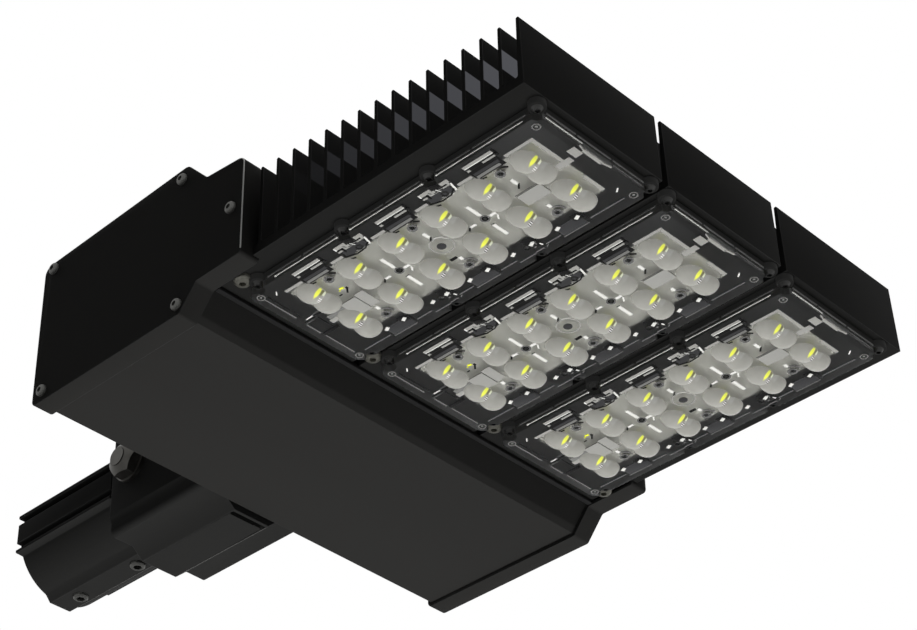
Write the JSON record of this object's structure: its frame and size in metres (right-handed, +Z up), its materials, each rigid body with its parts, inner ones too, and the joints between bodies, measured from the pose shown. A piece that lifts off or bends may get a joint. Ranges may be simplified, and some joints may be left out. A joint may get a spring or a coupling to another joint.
{
  "type": "shoebox area light",
  "caption": "Black shoebox area light: finned heat sinks with lens plates on a driver box, carried by a tilting slipfitter arm with clamp screws for a round pole tenon.",
  "frame": {"origin": "centre of the pole socket's mouth, at the arm's rear end", "axes": "+X from the socket's mouth to the luminaire's tip, +Y across it along the tilt bolt, +Z up, with the light side facing -Z"},
  "size_m": [0.4503, 0.2776, 0.085],
  "materials": {
    "arm_paint": "satin black powder coat over cast or extruded aluminium",
    "housing_paint": "satin black powder coat over extruded aluminium",
    "cap_paint": "satin black powder coat over die-cast aluminium",
    "sink_paint": "satin black finish over extruded aluminium",
    "zinc_steel": "bright zinc",
    "dark_steel": "dull dark zinc",
    "black_rubber": "matt black silicone rubber",
    "sheet_steel": "galvanised sheet",
    "supply_case": "potted aluminium case",
    "white_plastic": "white plastic",
    "board_white": "white solder mask",
    "phosphor": "yellow phosphor on a white package",
    "lens_clear": "clear moulded plastic"
  },
  "bodies": {
    "arm": {"slipfitter_arm": "arm_paint"},
    "clamp_rear": {"clamp_screw_rear": "dark_steel"},
    "clamp_front": {"clamp_screw_front": "dark_steel"},
    "head": {"neck_bracket": "arm_paint", "tilt_discs": "zinc_steel", "tilt_bolt": "dark_steel", "tilt_washers": "dark_steel", "tilt_nut": "dark_steel", "neck_gasket": "black_rubber", "neck_screws": "zinc_steel", "cable_grommet": "black_rubber", "driver_housing": "housing_paint", "end_cap_left": "cap_paint", "end_cap_right": "cap_paint", "cap_gasket_left": "black_rubber", "cap_gasket_right": "black_rubber", "cap_screws_left": "zinc_steel", "cap_screws_right": "zinc_steel", "driver_tray": "sheet_steel", "power_supply": "supply_case", "supply_screws": "zinc_steel", "surge_protector": "white_plastic", "terminal_block": "white_plastic", "shelf_screws": "zinc_steel", "sink_screws": "zinc_steel", "sink_nuts": "zinc_steel", "heat_sink_left": "sink_paint", "led_board_left": "board_white", "led_chips_left": "phosphor", "board_screws_left": "zinc_steel", "lens_gasket_left": "black_rubber", "lens_plate_left": "lens_clear", "lens_screws_left": "dark_steel", "heat_sink_middle": "sink_paint", "led_board_middle": "board_white", "led_chips_middle": "phosphor", "board_screws_middle": "zinc_steel", "lens_gasket_middle": "black_rubber", "lens_plate_middle": "lens_clear", "lens_screws_middle": "dark_steel", "heat_sink_right": "sink_paint", "led_board_right": "board_white", "led_chips_right": "phosphor", "board_screws_right": "zinc_steel", "lens_gasket_right": "black_rubber", "lens_plate_right": "lens_clear", "lens_screws_right": "dark_steel"}
  },
  "joints": [
    {"name": "head_tilt", "type": "hinge", "parent": "arm", "child": "head", "pos_m": [0.0955, 0, 0], "axis": [0, 1, 0], "range_deg": [-15, 15]},
    {"name": "clamp_rear_turn", "type": "slide", "parent": "arm", "child": "clamp_rear", "axis": [0, 0, 1], "range_m": [0, 0.0022]},
    {"name": "clamp_front_turn", "type": "slide", "parent": "arm", "child": "clamp_front", "axis": [0, 0, 1], "range_m": [0, 0.0022]}
  ]
}
